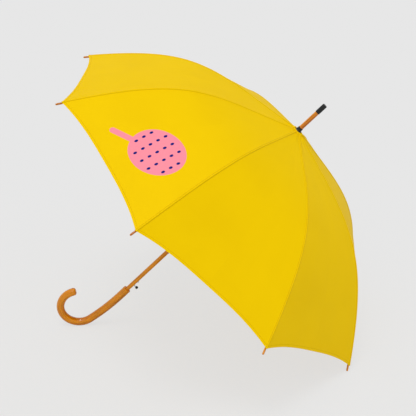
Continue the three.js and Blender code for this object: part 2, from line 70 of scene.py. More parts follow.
# The umbrella's own frame: z runs along the shaft to the ferrule, x lies half way between ribs 8 and 1,
# and z = 0 is the middle of the cloth at the crown. The crown's eight hinges say where that is.
jointOf = {joint["child"]: joint for joint in frame["joints"]}
crownHinges = [Vector(jointOf[f"rib_inner_{i}"]["pos_m"]) for i in ribNumbers]
hingesBelowCloth = 6 * mm
hubCentre = sum(crownHinges, Vector()) / len(crownHinges)
sideways = Vector((0, 1, 0))
downhill = ((crownHinges[0] + crownHinges[-1]) / 2 - hubCentre).normalized()
alongShaft = downhill.cross(sideways)
crown = hubCentre + alongShaft * hingesBelowCloth
toRow = Matrix.Translation(crown) @ Matrix((downhill, sideways, alongShaft)).transposed().to_4x4()
ribAngles = {i: math.radians(goreAngle / 2 + goreAngle * (i - 1)) for i in ribNumbers}
print("frame loaded, crown at", [round(x, 4) for x in crown])


view = dict(
    azimuth=-3.91, elevation=22.55, lens=106.98, sensor=36, clipEnd=100,
    right=182.99 * mm, up=157.27 * mm, depth=2534.76 * mm,  # from the camera to the crown
)


def placeCamera():
    azimuth, elevation = math.radians(view["azimuth"]), math.radians(view["elevation"])
    ahead = Vector((math.sin(azimuth) * math.cos(elevation), math.cos(azimuth) * math.cos(elevation),
                    -math.sin(elevation)))
    right = Vector((math.cos(azimuth), -math.sin(azimuth), 0))
    up = right.cross(ahead)
    camera = bpy.data.objects.new("camera", bpy.data.cameras.new("camera"))
    camera.data.lens = view["lens"]
    camera.data.sensor_width = view["sensor"]
    camera.data.clip_end = view["clipEnd"]
    place = crown - right * view["right"] - up * view["up"] - ahead * view["depth"]
    camera.matrix_world = Matrix.Translation(place) @ Matrix((right, up, -ahead)).transposed().to_4x4()
    scene.collection.objects.link(camera)
    scene.camera = camera


placeCamera()


def colour(hexValue):
    # sRGB hex to linear, with an alpha of 1
    channels = [int(hexValue[k:k + 2], 16) / 255 for k in (1, 3, 5)]
    return [c / 12.92 if c <= 0.04045 else ((c + 0.055) / 1.055) ** 2.4 for c in channels] + [1.0]


def addNode(tree, kind, inputs={}, **settings):
    node = tree.nodes.new("ShaderNode" + kind)
    for name, value in settings.items():
        setattr(node, name, value)
    for name, value in inputs.items():
        if isinstance(value, bpy.types.NodeSocket):
            tree.links.new(value, node.inputs[name])
        else:
            node.inputs[name].default_value = value
    return node


def newMaterial(name, **shaderInputs):
    material = bpy.data.materials.new(name)
    material.use_nodes = True
    tree = material.node_tree
    shader = tree.nodes["Principled BSDF"]
    for socket, value in shaderInputs.items():
        shader.inputs[socket.replace("_", " ")].default_value = value
    return material, tree, shader


def smoothShade(mesh, angle):
    # smooth, with sharp edges where two faces meet at more than the angle
    for polygon in mesh.polygons:
        polygon.use_smooth = True
    mesh.set_sharp_from_angle(angle=math.radians(angle))


def toObject(bm, name, material, body, smoothAngle=35, replaced=()):
    # the shape is made in the umbrella's frame and put in its place in the mesh itself
    mesh = bpy.data.meshes.new(name)
    bm.to_mesh(mesh)
    bm.free()
    mesh.transform(toRow)
    smoothShade(mesh, smoothAngle)
    piece = bpy.data.objects.new(name, mesh)
    mesh.materials.append(material)
    scene.collection.objects.link(piece)
    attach(piece, body)
    if replaced:
        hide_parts(*replaced)
    return piece


def applyModifiers(piece):
    bpy.context.view_layer.update()
    finished = piece.evaluated_get(bpy.context.evaluated_depsgraph_get())
    made = bpy.data.meshes.new_from_object(finished)
    piece.modifiers.clear()
    piece.data = made


def thicken(piece, thickness):
    # a wall of this many millimetres, half of it on either side of the sheet
    shell = piece.modifiers.new("thickness", "SOLIDIFY")
    shell.thickness = thickness * mm
    shell.offset = 0
    applyModifiers(piece)


def turnedPiece(profile, steps=64):
    # a profile of (radius, height) in millimetres, spun about z
    bm = bmesh.new()
    points = [bm.verts.new((r * mm, 0, z * mm)) for r, z in profile]
    edges = [bm.edges.new(pair) for pair in zip(points, points[1:])]
    bmesh.ops.spin(bm, geom=points + edges, cent=(0, 0, 0), axis=(0, 0, 1), angle=2 * math.pi, steps=steps,
                   use_merge=True)
    bmesh.ops.remove_doubles(bm, verts=bm.verts, dist=0.005 * mm)
    bmesh.ops.recalc_face_normals(bm, faces=bm.faces)
    return bm


def rememberPlace(mesh, name, values):
    # where each vertex lies on the real stuff, in metres, for the pattern to follow
    attribute = mesh.attributes.new(name, "FLOAT_VECTOR", "POINT")
    attribute.data.foreach_set("vector", np.asarray(values, np.float32).ravel())


def meshPoints(mesh):
    return np.array([v.co for v in mesh.vertices], float).reshape(-1, 3)


def localPoints(mesh, place=toRow):
    back = np.array(place.inverted())
    return meshPoints(mesh) @ back[:3, :3].T + back[:3, 3]


cloth = dict(
    yellow="#F5CC00", shade="#EEC400", thread="#B98B00", pink="#FF93A3", navy="#0A2378",
    roughness=0.6, sheen=0.004, clouds=9.0,
    weave=0.9, weaveDepth=0.05,  # mm between threads, three times the real distance so that they show
    # a row of stitches: where it is, where it starts to fade and ends, and how much thread shows
    seamRow=dict(place=1.8, full=0.3, ends=1.1, shows=0.4),
    hemRow=dict(place=5.0, full=0.2, ends=0.8, shows=0.35),
    seamRidge=0.8, seamWidth=1.5,  # the seam's swell over a rib
)

# an oval berry with a straight stem and even dots, printed on one gore: millimetres from the crown along
# the gore and from its middle line towards the lower rib, and degrees
berry = dict(
    centre=(384, 26), size=(58, 53), turn=-57, edge=0.35,  # size is half its length and half its width
    stemFrom=44, stemTo=106, stemHalf=6.4,
    pitch=(22, 18), dot=(2.7, 4.1), dotEdge=0.12, lean=24, margin=0.82,
    showsThrough=0.14,  # the share of the ink that shows on the underside
)


def berryPrint(tree, ground):
    # screen printed in flat ink: a crisp edge and the cloth's own weave through it
    place = addNode(tree, "Attribute", attribute_name="printPlace").outputs["Vector"]
    centred = addNode(tree, "VectorMath", {0: place, 1: [x * mm for x in berry["centre"]] + [0]},
                      operation="SUBTRACT").outputs[0]
    turned = addNode(tree, "Mapping", {"Vector": centred,
                                       "Rotation": (0, 0, -math.radians(berry["turn"]))}).outputs[0]
    parts = addNode(tree, "SeparateXYZ", {0: turned})
    perSize = [1 / (x * mm) for x in berry["size"]] + [0]
    scaled = addNode(tree, "VectorMath", {0: turned, 1: perSize}, operation="MULTIPLY").outputs[0]
    radius = addNode(tree, "VectorMath", {0: scaled}, operation="LENGTH").outputs["Value"]
    soft = berry["edge"] / berry["size"][0]
    fruit = addNode(tree, "MapRange", {"Value": radius, "From Min": 1 + soft,
                                       "From Max": 1 - soft}).outputs[0]

    # the stem is everything near a straight line, so that its end is round
    middle = (berry["stemFrom"] + berry["stemTo"]) / 2
    half = (berry["stemTo"] - berry["stemFrom"]) / 2 - berry["stemHalf"]
    along = addNode(tree, "Math", {0: parts.outputs["X"], 1: middle * mm}, operation="SUBTRACT").outputs[0]
    along = addNode(tree, "Math", {0: along}, operation="ABSOLUTE").outputs[0]
    past = addNode(tree, "Math", {0: along, 1: half * mm}, operation="SUBTRACT").outputs[0]
    past = addNode(tree, "Math", {0: past, 1: 0.0}, operation="MAXIMUM").outputs[0]
    beside = addNode(tree, "CombineXYZ", {"X": past, "Y": parts.outputs["Y"]}).outputs[0]
    offStem = addNode(tree, "VectorMath", {0: beside}, operation="LENGTH").outputs["Value"]
    stem = addNode(tree, "MapRange", {"Value": offStem, "From Min": (berry["stemHalf"] + berry["edge"]) * mm,
                                      "From Max": (berry["stemHalf"] - berry["edge"]) * mm}).outputs[0]
    inked = addNode(tree, "Math", {0: fruit, 1: stem}, operation="MAXIMUM").outputs[0]
    # the ink is on the upper face, and only a trace of it shows on the cloth's underside
    onTop = addNode(tree, "MapRange", {"Value": parts.outputs["Z"], "To Min": 1.0,
                                       "To Max": berry["showsThrough"]}).outputs[0]
    inked = addNode(tree, "Math", {0: inked, 1: onTop}, operation="MULTIPLY").outputs[0]

    # the dots' rows lean, and every cell of them has a dot in its middle; the third way isn't wrapped
    leaning = addNode(tree, "Mapping", {"Vector": turned,
                                        "Rotation": (0, 0, math.radians(berry["lean"]))}).outputs[0]
    high = [x / 2 * mm for x in berry["pitch"]] + [2]
    low = [-x for x in high]
    cell = addNode(tree, "VectorMath", {0: leaning, 1: high, 2: low}, operation="WRAP").outputs[0]
    # a dot is printed whole or not at all, by how far its middle is from the berry's
    home = addNode(tree, "VectorMath", {0: leaning, 1: cell}, operation="SUBTRACT").outputs[0]
    home = addNode(tree, "VectorMath", {0: home}, operation="LENGTH").outputs["Value"]
    inside = addNode(tree, "Math", {0: home, 1: berry["margin"] * berry["size"][0] * mm},
                     operation="LESS_THAN").outputs[0]
    perDot = [1 / (x * mm) for x in berry["dot"]] + [0]
    cell = addNode(tree, "VectorMath", {0: cell, 1: perDot}, operation="MULTIPLY").outputs[0]
    fromDot = addNode(tree, "VectorMath", {0: cell}, operation="LENGTH").outputs["Value"]
    dots = addNode(tree, "MapRange", {"Value": fromDot, "From Min": 1 + berry["dotEdge"],
                                      "From Max": 1 - berry["dotEdge"]}).outputs[0]
    for limit in (inside, onTop):
        dots = addNode(tree, "Math", {0: dots, 1: limit}, operation="MULTIPLY").outputs[0]
    pink = addNode(tree, "Mix", {0: inked, 6: ground, 7: colour(cloth["pink"])}, data_type="RGBA").outputs[2]
    return addNode(tree, "Mix", {0: dots, 6: pink, 7: colour(cloth["navy"])}, data_type="RGBA").outputs[2]


def stitches(tree, distance, row):
    # how much thread shows at a distance from the seam's line or the hem
    off = addNode(tree, "Math", {0: distance, 1: row["place"] * mm}, operation="SUBTRACT").outputs[0]
    off = addNode(tree, "Math", {0: off}, operation="ABSOLUTE").outputs[0]
    return addNode(tree, "MapRange", {"Value": off, "From Min": row["full"] * mm,
                                      "From Max": row["ends"] * mm, "To Min": row["shows"], "To Max": 0.0},
                   interpolation_type="SMOOTHSTEP").outputs[0]


def polyesterTaffeta():
    # woven polyester: matt with a faint sheen at grazing angles, and a tight plain weave
    material, tree, shader = newMaterial("polyester_taffeta", Roughness=cloth["roughness"], IOR=1.45,
                                         Specular_IOR_Level=0.04, Sheen_Weight=cloth["sheen"],
                                         Sheen_Roughness=0.4)
    place = addNode(tree, "Attribute", attribute_name="clothPlace").outputs["Vector"]
    parts = addNode(tree, "SeparateXYZ", {0: place})
    cloudy = addNode(tree, "TexNoise", {"Vector": place, "Scale": cloth["clouds"],
                                        "Detail": 3.0}).outputs["Fac"]
    uneven = addNode(tree, "MapRange", {"Value": cloudy, "From Min": 0.35, "From Max": 0.7,
                                        "To Max": 0.4}).outputs[0]
    base = addNode(tree, "Mix", {0: uneven, 6: colour(cloth["yellow"]), 7: colour(cloth["shade"])},
                   data_type="RGBA").outputs[2]
    base = berryPrint(tree, base)

    # a row of stitches on either side of the seam over each rib, and one along the hem
    fromSeam = addNode(tree, "Math", {0: parts.outputs["Y"]}, operation="ABSOLUTE").outputs[0]
    sewn = addNode(tree, "Math", {0: stitches(tree, fromSeam, cloth["seamRow"]),
                                  1: stitches(tree, parts.outputs["Z"], cloth["hemRow"])},
                   operation="MAXIMUM").outputs[0]
    base = addNode(tree, "Mix", {0: sewn, 6: base, 7: colour(cloth["thread"])}, data_type="RGBA").outputs[2]
    tree.links.new(base, shader.inputs["Base Color"])

    # a wave's bands are 0.314 over its scale apart
    threads = [addNode(tree, "TexWave", {"Vector": place, "Scale": 0.314 / (cloth["weave"] * mm)},
                       bands_direction=way).outputs["Fac"] for way in "XY"]
    weave = addNode(tree, "Math", {0: threads[0], 1: threads[1]}, operation="MULTIPLY").outputs[0]
    bump = addNode(tree, "Bump", {"Height": weave, "Distance": cloth["weaveDepth"] * mm,
                                  "Strength": 0.5}).outputs["Normal"]
    tree.links.new(bump, shader.inputs["Normal"])
    return material


wood = dict(light="#EA9806", middle="#B96602", dark="#6A3101", roughness=0.33,
            fibre=2.4, streak=11.0, lengthwise=0.06)  # mm across the grain, and its stretch along the wood


def varnishedBeech():
    # straight-grained wood stained orange-brown, under a clear varnish that gives small sharp highlights
    material, tree, shader = newMaterial("varnished_beech", Roughness=wood["roughness"], IOR=1.5,
                                         Specular_IOR_Level=0.12, Coat_Weight=0.55, Coat_Roughness=0.08)
    place = addNode(tree, "Attribute", attribute_name="woodPlace").outputs["Vector"]
    stretched = addNode(tree, "Mapping", {"Vector": place, "Scale": (1, 1, wood["lengthwise"])}).outputs[0]
    fibres = addNode(tree, "TexNoise", {"Vector": stretched, "Scale": 1 / (wood["fibre"] * mm),
                                        "Detail": 5.0, "Roughness": 0.6}).outputs["Fac"]
    streaks = addNode(tree, "TexNoise", {"Vector": stretched, "Scale": 1 / (wood["streak"] * mm),
                                         "Detail": 2.0}).outputs["Fac"]
    tone = addNode(tree, "MapRange", {"Value": streaks, "From Min": 0.35, "From Max": 0.68}).outputs[0]
    base = addNode(tree, "Mix", {0: tone, 6: colour(wood["light"]), 7: colour(wood["middle"])},
                   data_type="RGBA").outputs[2]
    grain = addNode(tree, "MapRange", {"Value": fibres, "From Min": 0.5, "From Max": 0.72, "To Max": 0.6})
    base = addNode(tree, "Mix", {0: grain.outputs[0], 6: base, 7: colour(wood["dark"])},
                   data_type="RGBA").outputs[2]
    tree.links.new(base, shader.inputs["Base Color"])
    bump = addNode(tree, "Bump", {"Height": fibres, "Distance": 0.06 * mm,
                                  "Strength": 0.25}).outputs["Normal"]
    tree.links.new(bump, shader.inputs["Normal"])
    return material


nylon = dict(colour="#070909", worn="#101313", roughness=0.16, texture=1.1)


def mouldedNylon():
    # black moulded nylon, polished by the mould: dark, with soft-edged highlights
    material, tree, shader = newMaterial("moulded_nylon", IOR=1.53, Specular_IOR_Level=0.35)
    place = addNode(tree, "TexCoord").outputs["Object"]
    spots = addNode(tree, "TexNoise", {"Vector": place, "Scale": 1 / (nylon["texture"] * mm),
                                       "Detail": 3.0}).outputs["Fac"]
    rough = addNode(tree, "MapRange", {"Value": spots, "To Min": nylon["roughness"] - 0.06,
                                       "To Max": nylon["roughness"] + 0.12}).outputs[0]
    tree.links.new(rough, shader.inputs["Roughness"])
    base = addNode(tree, "Mix", {0: spots, 6: colour(nylon["colour"]), 7: colour(nylon["worn"])},
                   data_type="RGBA").outputs[2]
    tree.links.new(base, shader.inputs["Base Color"])
    bump = addNode(tree, "Bump", {"Height": spots, "Distance": 0.02 * mm, "Strength": 0.3}).outputs["Normal"]
    tree.links.new(bump, shader.inputs["Normal"])
    return material


steel = dict(colour="#B6BABE", dull="#9DA2A8", roughness=0.32, patch=6.0)


def zincPlatedSteel():
    # cold-rolled strip with a thin bright zinc plating: cool grey, duller in patches
    material, tree, shader = newMaterial("zinc_plated_steel", Metallic=1.0)
    place = addNode(tree, "TexCoord").outputs["Object"]
    patches = addNode(tree, "TexNoise", {"Vector": place, "Scale": 1 / (steel["patch"] * mm),
                                         "Detail": 4.0}).outputs["Fac"]
    rough = addNode(tree, "MapRange", {"Value": patches, "To Min": steel["roughness"] - 0.1,
                                       "To Max": steel["roughness"] + 0.12}).outputs[0]
    tree.links.new(rough, shader.inputs["Roughness"])
    base = addNode(tree, "Mix", {0: patches, 6: colour(steel["colour"]), 7: colour(steel["dull"])},
                   data_type="RGBA").outputs[2]
    tree.links.new(base, shader.inputs["Base Color"])
    return material


clothMaterial = polyesterTaffeta()
woodMaterial = varnishedBeech()
nylonMaterial = mouldedNylon()
steelMaterial = zincPlatedSteel()
print("materials made")


canopy = dict(
    radius=432, depth=240,  # axis to cloth corner, crown to cloth corner, in mm
    flat=14, crownSlope=13.5, crownHandle=201, cornerSlope=51.8, cornerHandle=259,  # the line over a rib
    hemSag=14, hemPower=3,  # how far the hem is drawn in between two ribs, and how steeply from a tip
    hole=5.2, bendArc=228, thickness=0.4,
    innerRows=42, outerRows=46, crowding=1.4,  # more rows near the crown
    columns=22, seamColumns=(0, 0.6, 1.2, 2.0, 3.2, 5.5),  # on one side of a rib; mm from the rib
    lapRows=(10, 5, 1.2, 0.05), lapLift=-0.6,  # mm from the bend, where outer cloth goes under inner cloth
    hemFrom=8, hemRows=(6.2, 5.5, 5.0, 4.5, 3.5, 2, 0.6, 0),  # mm from the hem's edge
    hemLifts=(0, 0.05, -0.12, 0.2, 0.3, 0.3, 0.25, 0.1),
    furled=(10, 23),  # the closed umbrella's radius at the crown and at the ribs' bends
    underlap=1.85, underlapDrop=0.5, underlapOver=0.06,  # in half gores, but the drop in mm
    innerKeep=0.17, outerKeep=0.08,  # the share of its width that cloth keeps when it is furled
)


def profileTable(steps=4000):
    # arc length, radius and height of the cloth over a rib
    def downwards(degrees):
        return np.array([math.cos(math.radians(degrees)), -math.sin(math.radians(degrees))])

    start = np.array([canopy["flat"], 0.0])
    end = np.array([canopy["radius"], -canopy["depth"]], float)
    handles = [start, start + downwards(canopy["crownSlope"]) * canopy["crownHandle"],
               end - downwards(canopy["cornerSlope"]) * canopy["cornerHandle"], end]
    t = np.linspace(0, 1, steps)[:, None]
    weights = [(1 - t) ** 3, 3 * t * (1 - t) ** 2, 3 * t * t * (1 - t), t ** 3]
    points = sum(w * h for w, h in zip(weights, handles))
    arcs = np.concatenate([[0], np.cumsum(np.linalg.norm(np.diff(points, axis=0), axis=1))])
    # the flat middle comes first
    arcs = np.concatenate([[-canopy["flat"]], arcs])
    points = np.concatenate([[[0.0, 0.0]], points])
    return arcs, points[:, 0], points[:, 1]


arcTable, radiusTable, heightTable = profileTable()
clothLength = arcTable[-1]


def ribLine(arc):
    return np.interp(arc, arcTable, radiusTable), np.interp(arc, arcTable, heightTable)


def halfWidth(arc):
    # from the rib to the gore's middle, along the cloth
    return ribLine(arc)[0] * math.sin(halfGore)


def clothPoint(arc, across, rib, lift=0.0):
    # millimetres; across runs from -1 to 1, from one gore's middle over the rib to the next gore's middle
    r, z = ribLine(arc)
    chord = r * math.sin(halfGore)
    x = r - chord * np.abs(across) * math.sin(halfGore)
    y = chord * across * math.cos(halfGore)
    # outward direction of the flat gore beside the rib
    step = 0.5
    ahead, behind = ribLine(arc + step), ribLine(arc - step)
    dr, dz = ahead[0] - behind[0], ahead[1] - behind[1]
    slope = -dz / np.maximum(dr, 1e-6) / math.cos(halfGore)
    side = np.sign(across)
    n = np.stack([slope * math.cos(halfGore), slope * side * math.sin(halfGore), np.ones_like(slope)], -1)
    n /= np.linalg.norm(n, axis=-1, keepdims=True)
    p = np.stack([x, y, z], -1) + n * np.asarray(lift)[..., None]
    a = ribAngles[rib]
    turn = np.array([[math.cos(a), math.sin(a), 0], [-math.sin(a), math.cos(a), 0], [0, 0, 1]])
    return p @ turn


def bendLine(across):
    # where the cloth crosses the plane square to the rib at its bend
    bend, before, after, steps = canopy["bendArc"], 5, 80, 1200
    (r0, z0), (r1, z1) = ribLine(bend), ribLine(bend + 1)
    arcs = np.linspace(bend - before, bend + after, steps)
    r, z = ribLine(arcs)
    found = []
    for a in across:
        x = r - r * math.sin(halfGore) ** 2 * abs(a)
        past = (x - r0) * (r1 - r0) + (z - z0) * (z1 - z0)
        found.append(np.interp(0, past, arcs))
    return np.array(found)


def hemLineArc(across):
    return clothLength - canopy["hemSag"] * (1 - (1 - np.abs(across)) ** canopy["hemPower"])


# small folds: height in mm, how many go round, how much they change along the gore, and the radius at which
# they have their full height
pucker = dict(
    gathered=dict(height=1.5, count=6.5, along=0.006, start=0, full=20),
    fine=dict(height=1.3, count=15, along=0.008, start=4, full=20),
    crease=dict(height=0.35, count=16, along=0.003, start=9, full=150),
    crownFrom=9, crownFade=42, crownPower=1.3,  # where the crown's gathers die out
    wide=0.9, wideScale=7, wideFull=120,
    pull=0.35, pullRays=9, pullSpread=0.38, pullStart=6, tipFade=22,  # rays from a tip
)


def foldRound(fold, angle, along, radius):
    x, y = math.cos(angle) * fold["count"], math.sin(angle) * fold["count"]
    return (fold["height"] * noise.noise(Vector((x, y, fold["start"] + along * fold["along"])))
            * min(1, radius / fold["full"]))


def puckers(points, arc, across):
    # small folds where the cloth is gathered at the crown and pulled at the tips; the same on both sides
    # of a gore's middle, because they only depend on the place
    p = points / 1000  # metres
    angle = np.arctan2(p[..., 1], p[..., 0])
    lift = np.zeros(arc.shape)
    r = ribLine(arc)[0]
    fromCrown = np.maximum(r - pucker["crownFrom"], 0) / pucker["crownFade"]
    crownShare = np.exp(-fromCrown ** pucker["crownPower"])
    toTip = np.hypot(np.maximum(clothLength - arc, 0), r * np.sin(halfGore) * np.abs(across))
    for index in np.ndindex(arc.shape):
        a, radius = angle[index], r[index]
        bunched = sum(foldRound(pucker[name], a, radius, radius) for name in ("gathered", "fine"))
        wide = noise.noise(Vector(p[index] * pucker["wideScale"]))
        beside = radius * across[index] * pucker["pullSpread"]
        ray = math.atan2(beside, max(clothLength - arc[index], 0) + pucker["pullStart"])
        lift[index] = (crownShare[index] * bunched
                       + pucker["wide"] * wide * min(1, radius / pucker["wideFull"])
                       + foldRound(pucker["crease"], a, arc[index], radius)
                       + pucker["pull"] * abs(math.sin(pucker["pullRays"] * ray))
                       * math.exp(-toTip[index] / pucker["tipFade"]))
    return lift


farOff = 10000.0  # mm, where nothing is printed


def printColumn(rib, across, fromSeam):
    # distance from the middle line of the printed gore, which ribs 5 and 6 share
    fromMiddle = np.abs(fromSeam) * (1 / np.maximum(np.abs(across), 1e-6) - 1)
    if rib == 5:
        return np.where(across > 0, -fromMiddle, -farOff)
    return np.where(across < 0, fromMiddle, farOff) if rib == 6 else np.full(across.shape, farOff)


def markUnderside(mesh):
    # Solidify puts the shell's other side in the second half of the vertices
    points, half = meshPoints(mesh), len(mesh.vertices) // 2
    firstIsUpper = ((points[:half] - points[half:]) @ np.array(alongShaft)).mean() > 0
    underside = slice(half, None) if firstIsUpper else slice(0, half)
    place = np.zeros(len(points) * 3, np.float32)
    mesh.attributes["printPlace"].data.foreach_get("vector", place)
    place.reshape(-1, 3)[underside, 2] = 1
    mesh.attributes["printPlace"].data.foreach_set("vector", place)


def faceUpwards(mesh, polygon):
    if polygon.normal.dot(alongShaft) < 0:
        mesh.flip_normals()


def clothSheet(name, rib, arc, across, lift, body, replaced=()):
    # rows of cloth by their place on it, made a shell; gives its area and greatest width too
    fromSeam = across * halfWidth(arc)
    ridge = cloth["seamRidge"] * np.exp(-(fromSeam / cloth["seamWidth"]) ** 2)
    smooth = clothPoint(arc, across, rib)
    points = clothPoint(arc, across, rib, lift + ridge + puckers(smooth, arc, across))
    bm = bmesh.new()
    placeLayer = bm.verts.layers.float_vector.new("clothPlace")
    printLayer = bm.verts.layers.float_vector.new("printPlace")
    bmesh.ops.create_grid(bm, x_segments=arc.shape[0] - 1, y_segments=arc.shape[1] - 1, size=1)
    order = sorted(bm.verts, key=lambda v: (round(v.co.x, 5), round(v.co.y, 5)))
    places = [points.reshape(-1, 3) * mm]
    places += [x.ravel() * mm for x in (arc, fromSeam, hemLineArc(across) - arc,
                                        printColumn(rib, across, fromSeam))]
    for vertex, point, along, beside, toHem, fromMiddle in zip(order, *places):
        vertex.co = point
        vertex[placeLayer] = (along, beside, toHem)
        vertex[printLayer] = (along, fromMiddle, 0)
    area = sum(f.calc_area() for f in bm.faces)
    piece = toObject(bm, name, clothMaterial, body, smoothAngle=60, replaced=replaced)
    faceUpwards(piece.data, piece.data.polygons[len(piece.data.polygons) // 2])
    thicken(piece, canopy["thickness"])
    markUnderside(piece.data)
    piece.data.set_sharp_from_angle(angle=math.radians(50))
    return piece, area, float(np.abs(fromSeam).max()) * 2 * mm


def clothPiece(name, rib, arcRows, body, cadNode, keep, furled):
    # arcRows(across) gives the arc and the extra lift of each row
    middleArcs = arcRows(np.zeros(1))[0]
    # the columns near the seam keep their distance from it, and the others share out the rest
    nearSeam = np.array(canopy["seamColumns"])
    share = np.linspace(0, 1, canopy["columns"] - len(nearSeam) + 2)[1:]
    near = np.minimum(nearSeam / halfWidth(middleArcs), np.linspace(0, 0.5, len(nearSeam)))
    # near the crown a sector reaches under its neighbours, so that it still meets them when it is furled
    wanted = halfGore * np.interp(middleArcs, (0, canopy["bendArc"]), furled) / keep
    reach = np.clip(wanted / halfWidth(middleArcs), 1, canopy["underlap"])
    oneSide = np.concatenate([near, near[:, -1:] + (reach - near[:, -1:]) * share], axis=1)
    across = np.concatenate([-oneSide[:, :0:-1], oneSide], axis=1)
    guides = np.linspace(-1, 1, 201)
    guideArcs, guideLift = arcRows(guides)
    arc = np.array([np.interp(across[k], guides, guideArcs[k]) for k in range(len(middleArcs))])
    under = np.clip((np.abs(across) - 1) / canopy["underlapOver"], 0, 1)
    lift = guideLift[:, :1] - canopy["underlapDrop"] * under
    piece, area, width = clothSheet(name, rib, arc, across, lift, body, [cadNode])
    makeSeam(name.replace("cloth", "seam"), rib, arcRows, body)
    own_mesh(piece)


# mm from the rib's middle and over the cloth, and from the axis to where the seam starts
seam = dict(offsets=(0, 0.8, 1.6, 2.2, 2.6, 2.75), lifts=(0.36, 0.36, 0.36, 0.3, 0.05, -2.5), crownGap=12)


def makeSeam(name, rib, arcRows, body):
    # the felled seam over a rib: a narrow band whose edges are turned down on both sides of the rib
    rows, lift = arcRows(np.zeros(1))
    kept = rows[:, 0] > seam["crownGap"] - canopy["flat"]
    rows, lift = rows[kept], lift[kept]
    offsets, lifts = np.array(seam["offsets"]), np.array(seam["lifts"])
    offsets, lifts = np.concatenate([-offsets[:0:-1], offsets]), np.concatenate([lifts[:0:-1], lifts])
    across = offsets / halfWidth(rows)
    arc = np.repeat(rows, len(offsets), axis=1)
    return clothSheet(name, rib, arc, across, lift + lifts, body)[0]


def innerRows(across):
    t = np.linspace(0, 1, canopy["innerRows"])[:, None] ** canopy["crowding"]
    start = canopy["hole"] - canopy["flat"]
    arc = start + (bendLine(across)[None, :] - start) * t
    return arc, np.zeros_like(arc)


def outerRows(across):
    bend, edge = bendLine(across)[None, :], hemLineArc(across)[None, :]
    t = np.linspace(0, 1, canopy["outerRows"])[:, None]
    lap, hem = np.array(canopy["lapRows"])[:, None], np.array(canopy["hemRows"])[:, None]
    arc = np.concatenate([bend - lap, bend + (edge - canopy["hemFrom"] - bend) * t, edge - hem])
    lift = np.zeros_like(arc)
    lift[:len(lap)] = canopy["lapLift"]
    lift[-len(hem):] = np.array(canopy["hemLifts"])[:, None]
    return arc, lift


gather = dict(
    outer=14.4, pleats=26, stepsPerPleat=8, thickness=0.3,
    profile=((5.2, 0.28), (7.4, 0.3), (8.2, 0.6), (8.5, 1.6), (9.1, 2.6), (10.1, 3.0), (11.3, 2.6),
             (12.6, 1.5), (13.6, 0.7), (14.4, 0.36)),  # radius, and height over the cloth
    looseFrom=7.8, looseOver=1.5,  # held flat inside this radius, and free a little outside it
    uneven=1.2, foldHeight=0.45, swayHeight=0.2, foldSpread=0.03,
    fadeFrom=15.6, fadeOver=3,
)


def makeGather():
    # the cloth is bunched into a small pleated ring where the crown cap clamps it
    bm = turnedPiece(gather["profile"], gather["pleats"] * gather["stepsPerPleat"])
    for vertex in bm.verts:
        r, angle = vertex.co.xy.length / mm, math.atan2(vertex.co.y, vertex.co.x)
        loose = min(max((r - gather["looseFrom"]) / gather["looseOver"], 0), 1)
        fold = math.cos(gather["pleats"] * angle + gather["uneven"] * math.sin(3 * angle))
        rise = gather["foldHeight"] * fold + gather["swayHeight"] * math.sin(5 * angle + 1)
        vertex.co.z += rise * loose * min(1, (gather["fadeFrom"] - r) / gather["fadeOver"]) * mm
        vertex.co.xy *= 1 + gather["foldSpread"] * fold * loose
    area = sum(f.calc_area() for f in bm.faces)
    piece = toObject(bm, "crown_gather", clothMaterial, "frame", smoothAngle=60)
    faceUpwards(piece.data, piece.data.polygons[0])
    local = localPoints(piece.data)
    angles, radii = np.arctan2(local[:, 1], local[:, 0]), np.hypot(local[:, 0], local[:, 1])
    # away from any row of stitches
    rememberPlace(piece.data, "clothPlace", np.stack([radii, 0.03 + angles * 0.01, radii + 0.1], 1))
    rememberPlace(piece.data, "printPlace", np.full((len(local), 3), farOff * mm))
    thicken(piece, gather["thickness"])


def makeCanopy():
    for i in ribNumbers:
        clothPiece(f"cloth_inner_{i}", i, innerRows, f"rib_inner_{i}", f"canopy_inner_{i}",
                   canopy["innerKeep"], canopy["furled"])
        clothPiece(f"cloth_outer_{i}", i, outerRows, f"rib_outer_{i}", f"canopy_outer_{i}",
                   canopy["outerKeep"], (0, 0))
    makeGather()
    print("canopy made")


makeCanopy()


crook = dict(
    top=517.5, radius=8.45, bore=4.75, socket=12,  # mm; the top is this far under the crown
    rim=((0, 0.7), (0.2, 0.2), (0.6, 0)),  # the rounded upper edge: down by, and in from the full radius
    straight=22.5, lean=11, leanRadius=470, hook=40.3, sweep=212, turn=190.6,
    straightRings=6, leanSteps=14, hookSteps=96,
    dome=((1.3, 0.985), (1.4, 0.94), (1.2, 0.86), (0.9, 0.74), (0.5, 0.56)),  # ahead by, share of the radius
)


def growRing(bm, edges, offset, scale, centre):
    # extrudes an open ring, then scales and moves the new one
    grown = bmesh.ops.extrude_edge_only(bm, edges=edges)["geom"]
    verts = [g for g in grown if isinstance(g, bmesh.types.BMVert)]
    bmesh.ops.scale(bm, vec=(scale,) * 3, space=Matrix.Translation(-centre), verts=verts)
    bmesh.ops.translate(bm, vec=offset, verts=verts)
    return [g for g in grown if isinstance(g, bmesh.types.BMEdge) and g.is_boundary], centre + offset


def spinRing(bm, edges, cent, angle, steps):
    # each vertex once, in the same order every time
    verts = list(dict.fromkeys(v for e in edges for v in e.verts))
    spun = bmesh.ops.spin(bm, geom=verts + edges, cent=cent, axis=(0, -1, 0), angle=angle, steps=steps)
    return [g for g in spun["geom_last"] if isinstance(g, bmesh.types.BMEdge)]


